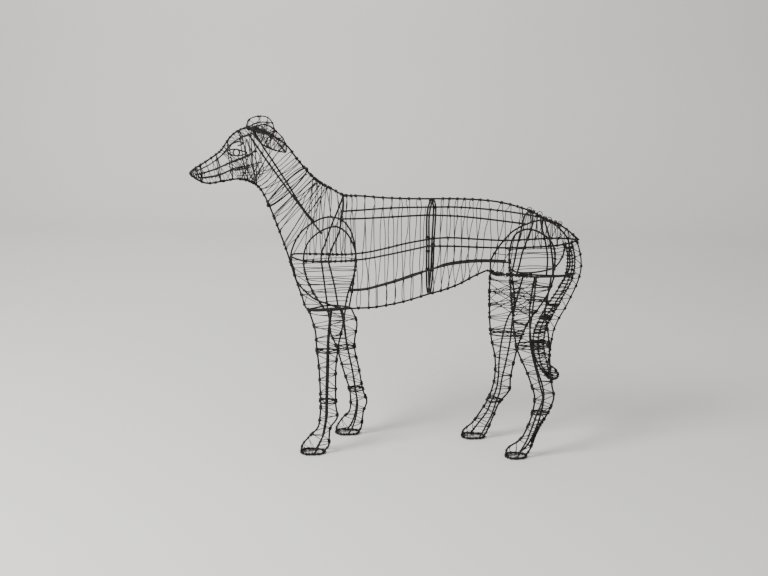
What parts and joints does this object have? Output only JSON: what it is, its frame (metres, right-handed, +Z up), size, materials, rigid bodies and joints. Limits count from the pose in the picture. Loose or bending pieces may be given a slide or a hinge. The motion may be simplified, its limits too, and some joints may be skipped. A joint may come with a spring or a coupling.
{
  "type": "dog topiary frame",
  "caption": "Life-size sighthound topiary frame of dark steel bars, standing on its paws: an open cage for planting, moss or climbing plants.",
  "frame": {"origin": "on the ground, under the middle of the whole frame", "axes": "+Z up, the nose points along -X, the left flank faces -Y"},
  "size_m": [1.0572, 0.2074, 0.9044],
  "materials": {
    "frame_bar": "bare mild steel bar, oxidised dark grey-brown with traces of rust",
    "light_bar": "thinner mild steel bar and wire, oxidised dark grey-brown"
  },
  "bodies": {
    "root": {"belly_front": "frame_bar", "belly_rear": "frame_bar", "brow_bar": "light_bar", "cheek_bar": "light_bar", "chest_hoop": "frame_bar", "crotch_hoop": "frame_bar", "ear_left": "light_bar", "ear_right": "light_bar", "head_ring_1": "light_bar", "head_ring_2": "light_bar", "head_ring_3": "light_bar", "head_ring_4": "light_bar", "head_ring_5": "light_bar", "hip_hoop_front": "frame_bar", "hip_hoop_rear": "frame_bar", "joint_hoop_front": "frame_bar", "joint_hoop_rear": "frame_bar", "left_front_leg_front_bar": "frame_bar", "left_front_leg_inner_bar_and_rings": "frame_bar", "left_front_leg_outer_bar": "frame_bar", "left_front_leg_rear_bar": "frame_bar", "left_front_paw_loop": "frame_bar", "left_hind_leg_front_bar": "frame_bar", "left_hind_leg_inner_bar_and_rings": "frame_bar", "left_hind_leg_outer_bar": "frame_bar", "left_hind_leg_rear_bar": "frame_bar", "left_hind_paw_loop": "frame_bar", "lower_bar_front_left": "frame_bar", "lower_bar_front_right": "frame_bar", "lower_bar_rear_left": "frame_bar", "lower_bar_rear_right": "frame_bar", "middle_bar_front": "frame_bar", "middle_bar_rear": "frame_bar", "mouth_bar": "light_bar", "neck_bar_left": "frame_bar", "neck_bar_right": "frame_bar", "right_front_leg_front_bar": "frame_bar", "right_front_leg_inner_bar_and_rings": "frame_bar", "right_front_leg_outer_bar": "frame_bar", "right_front_leg_rear_bar": "frame_bar", "right_front_paw_loop": "frame_bar", "right_hind_leg_front_bar": "frame_bar", "right_hind_leg_inner_bar_and_rings": "frame_bar", "right_hind_leg_outer_bar": "frame_bar", "right_hind_leg_rear_bar": "frame_bar", "right_hind_paw_loop": "frame_bar", "shoulder_arch_left": "frame_bar", "shoulder_arch_right": "frame_bar", "spine_front": "frame_bar", "spine_rear": "frame_bar", "tail_flank_bar": "light_bar", "tail_outer_bar": "light_bar", "thigh_arch_left": "frame_bar", "thigh_arch_right": "frame_bar", "thigh_sling_left": "light_bar", "upper_bar_front_left": "frame_bar", "upper_bar_front_right": "frame_bar", "upper_bar_rear_left": "frame_bar", "upper_bar_rear_right": "frame_bar", "withers_rib": "frame_bar"}
  },
  "joints": []
}
